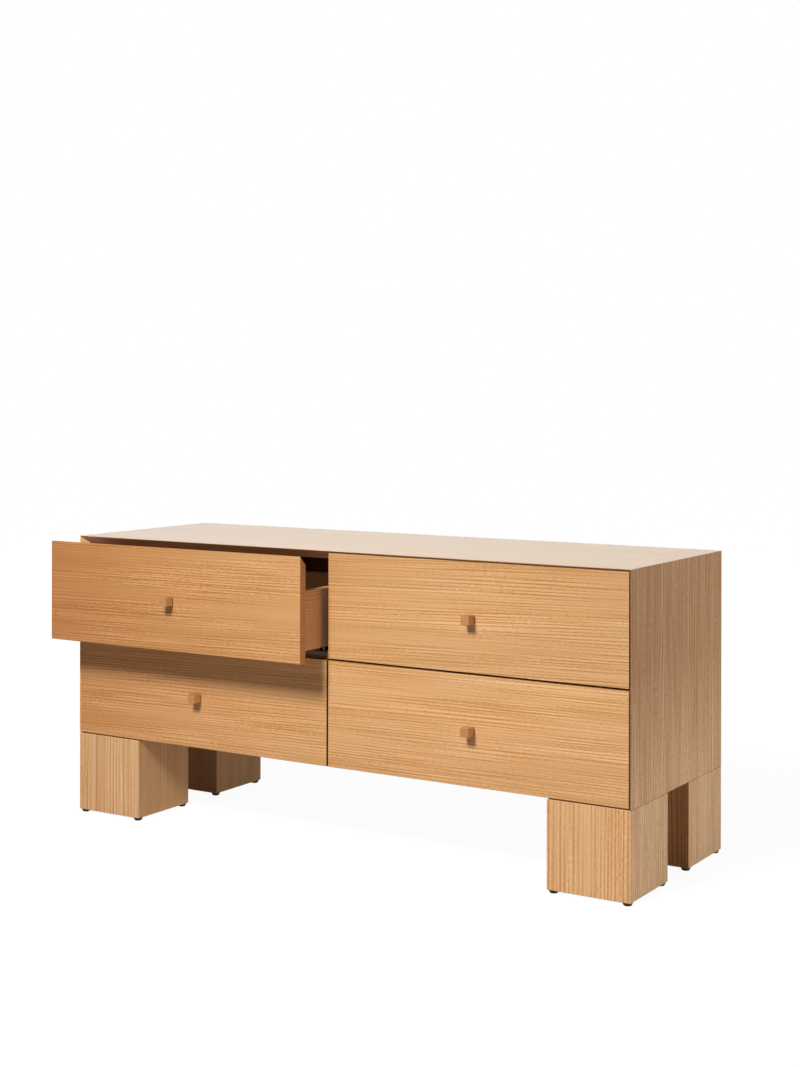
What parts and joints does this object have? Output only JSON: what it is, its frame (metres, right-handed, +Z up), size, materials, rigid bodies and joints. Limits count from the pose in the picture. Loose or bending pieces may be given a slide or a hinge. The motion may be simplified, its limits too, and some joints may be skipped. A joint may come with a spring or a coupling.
{
  "type": "chest of drawers",
  "caption": "Low wide oak chest of drawers on square block legs, with mitred knife-edge case, nested bevelled drawer fronts, square knobs and hidden full-extension runners.",
  "frame": {"origin": "on the floor, at the middle of the chest's bounding box as it stands, with the upper left drawer partly drawn out", "axes": "+X to the right of someone facing the front, +Y from the front to the back, +Z up"},
  "size_m": [1.524, 0.643, 0.7015],
  "materials": {
    "front_oak": "clear matt oil over straight-grained oak veneer, grain running across",
    "case_oak": "clear matt oil over straight-grained oak veneer, grain running over the top and down the sides",
    "leg_oak": "clear matt oil, upright grain",
    "knob_oak": "clear matt oil on solid oak",
    "inner_oak": "oiled oak veneer inside the case",
    "back_board": "oiled oak veneered board",
    "drawer_oak": "lacquered solid oak drawer box",
    "drawer_bottom": "lacquered oak veneered board",
    "tenon_beech": "plain pressed beech",
    "runner_steel": "zinc plated sheet",
    "fastener_steel": "zinc plated",
    "glide_plastic": "black moulded plastic"
  },
  "bodies": {
    "case": {"top_panel": "case_oak", "left_side_panel": "case_oak", "right_side_panel": "case_oak", "bottom_panel": "inner_oak", "centre_divider": "inner_oak", "left_shelf": "inner_oak", "right_shelf": "inner_oak", "back_board": "back_board", "case_tenons": "tenon_beech", "mitre_splines": "tenon_beech", "front_left_leg": "leg_oak", "front_right_leg": "leg_oak", "rear_left_leg": "leg_oak", "rear_right_leg": "leg_oak", "leg_bolts": "fastener_steel", "glides": "glide_plastic", "upper_left_cabinet_runners": "runner_steel", "upper_right_cabinet_runners": "runner_steel", "lower_left_cabinet_runners": "runner_steel", "lower_right_cabinet_runners": "runner_steel"},
    "upper_left_drawer": {"upper_left_front": "front_oak", "upper_left_knob": "knob_oak", "upper_left_knob_screw": "fastener_steel", "upper_left_box_front": "drawer_oak", "upper_left_box_back": "drawer_oak", "upper_left_box_left_side": "drawer_oak", "upper_left_box_right_side": "drawer_oak", "upper_left_box_bottom": "drawer_bottom", "upper_left_drawer_runners": "runner_steel"},
    "upper_left_slide": {"upper_left_middle_runners": "runner_steel"},
    "upper_right_drawer": {"upper_right_front": "front_oak", "upper_right_knob": "knob_oak", "upper_right_knob_screw": "fastener_steel", "upper_right_box_front": "drawer_oak", "upper_right_box_back": "drawer_oak", "upper_right_box_left_side": "drawer_oak", "upper_right_box_right_side": "drawer_oak", "upper_right_box_bottom": "drawer_bottom", "upper_right_drawer_runners": "runner_steel"},
    "upper_right_slide": {"upper_right_middle_runners": "runner_steel"},
    "lower_left_drawer": {"lower_left_front": "front_oak", "lower_left_knob": "knob_oak", "lower_left_knob_screw": "fastener_steel", "lower_left_box_front": "drawer_oak", "lower_left_box_back": "drawer_oak", "lower_left_box_left_side": "drawer_oak", "lower_left_box_right_side": "drawer_oak", "lower_left_box_bottom": "drawer_bottom", "lower_left_drawer_runners": "runner_steel"},
    "lower_left_slide": {"lower_left_middle_runners": "runner_steel"},
    "lower_right_drawer": {"lower_right_front": "front_oak", "lower_right_knob": "knob_oak", "lower_right_knob_screw": "fastener_steel", "lower_right_box_front": "drawer_oak", "lower_right_box_back": "drawer_oak", "lower_right_box_left_side": "drawer_oak", "lower_right_box_right_side": "drawer_oak", "lower_right_box_bottom": "drawer_bottom", "lower_right_drawer_runners": "runner_steel"},
    "lower_right_slide": {"lower_right_middle_runners": "runner_steel"}
  },
  "joints": [
    {"name": "upper_left_draw", "type": "slide", "parent": "case", "child": "upper_left_drawer", "axis": [0, -1, 0], "range_m": [-0.1075, 0.2925]},
    {"name": "upper_left_slide_out", "type": "slide", "parent": "case", "child": "upper_left_slide", "axis": [0, -1, 0], "range_m": [-0.05375, 0.14625]},
    {"name": "upper_right_draw", "type": "slide", "parent": "case", "child": "upper_right_drawer", "axis": [0, -1, 0], "range_m": [0, 0.4]},
    {"name": "upper_right_slide_out", "type": "slide", "parent": "case", "child": "upper_right_slide", "axis": [0, -1, 0], "range_m": [0, 0.2]},
    {"name": "lower_left_draw", "type": "slide", "parent": "case", "child": "lower_left_drawer", "axis": [0, -1, 0], "range_m": [0, 0.4]},
    {"name": "lower_left_slide_out", "type": "slide", "parent": "case", "child": "lower_left_slide", "axis": [0, -1, 0], "range_m": [0, 0.2]},
    {"name": "lower_right_draw", "type": "slide", "parent": "case", "child": "lower_right_drawer", "axis": [0, -1, 0], "range_m": [0, 0.4]},
    {"name": "lower_right_slide_out", "type": "slide", "parent": "case", "child": "lower_right_slide", "axis": [0, -1, 0], "range_m": [0, 0.2]}
  ],
  "couplings": [
    {"joint": "upper_left_slide_out", "follows": "upper_left_draw", "ratio": 0.5},
    {"joint": "upper_right_slide_out", "follows": "upper_right_draw", "ratio": 0.5},
    {"joint": "lower_left_slide_out", "follows": "lower_left_draw", "ratio": 0.5},
    {"joint": "lower_right_slide_out", "follows": "lower_right_draw", "ratio": 0.5}
  ]
}
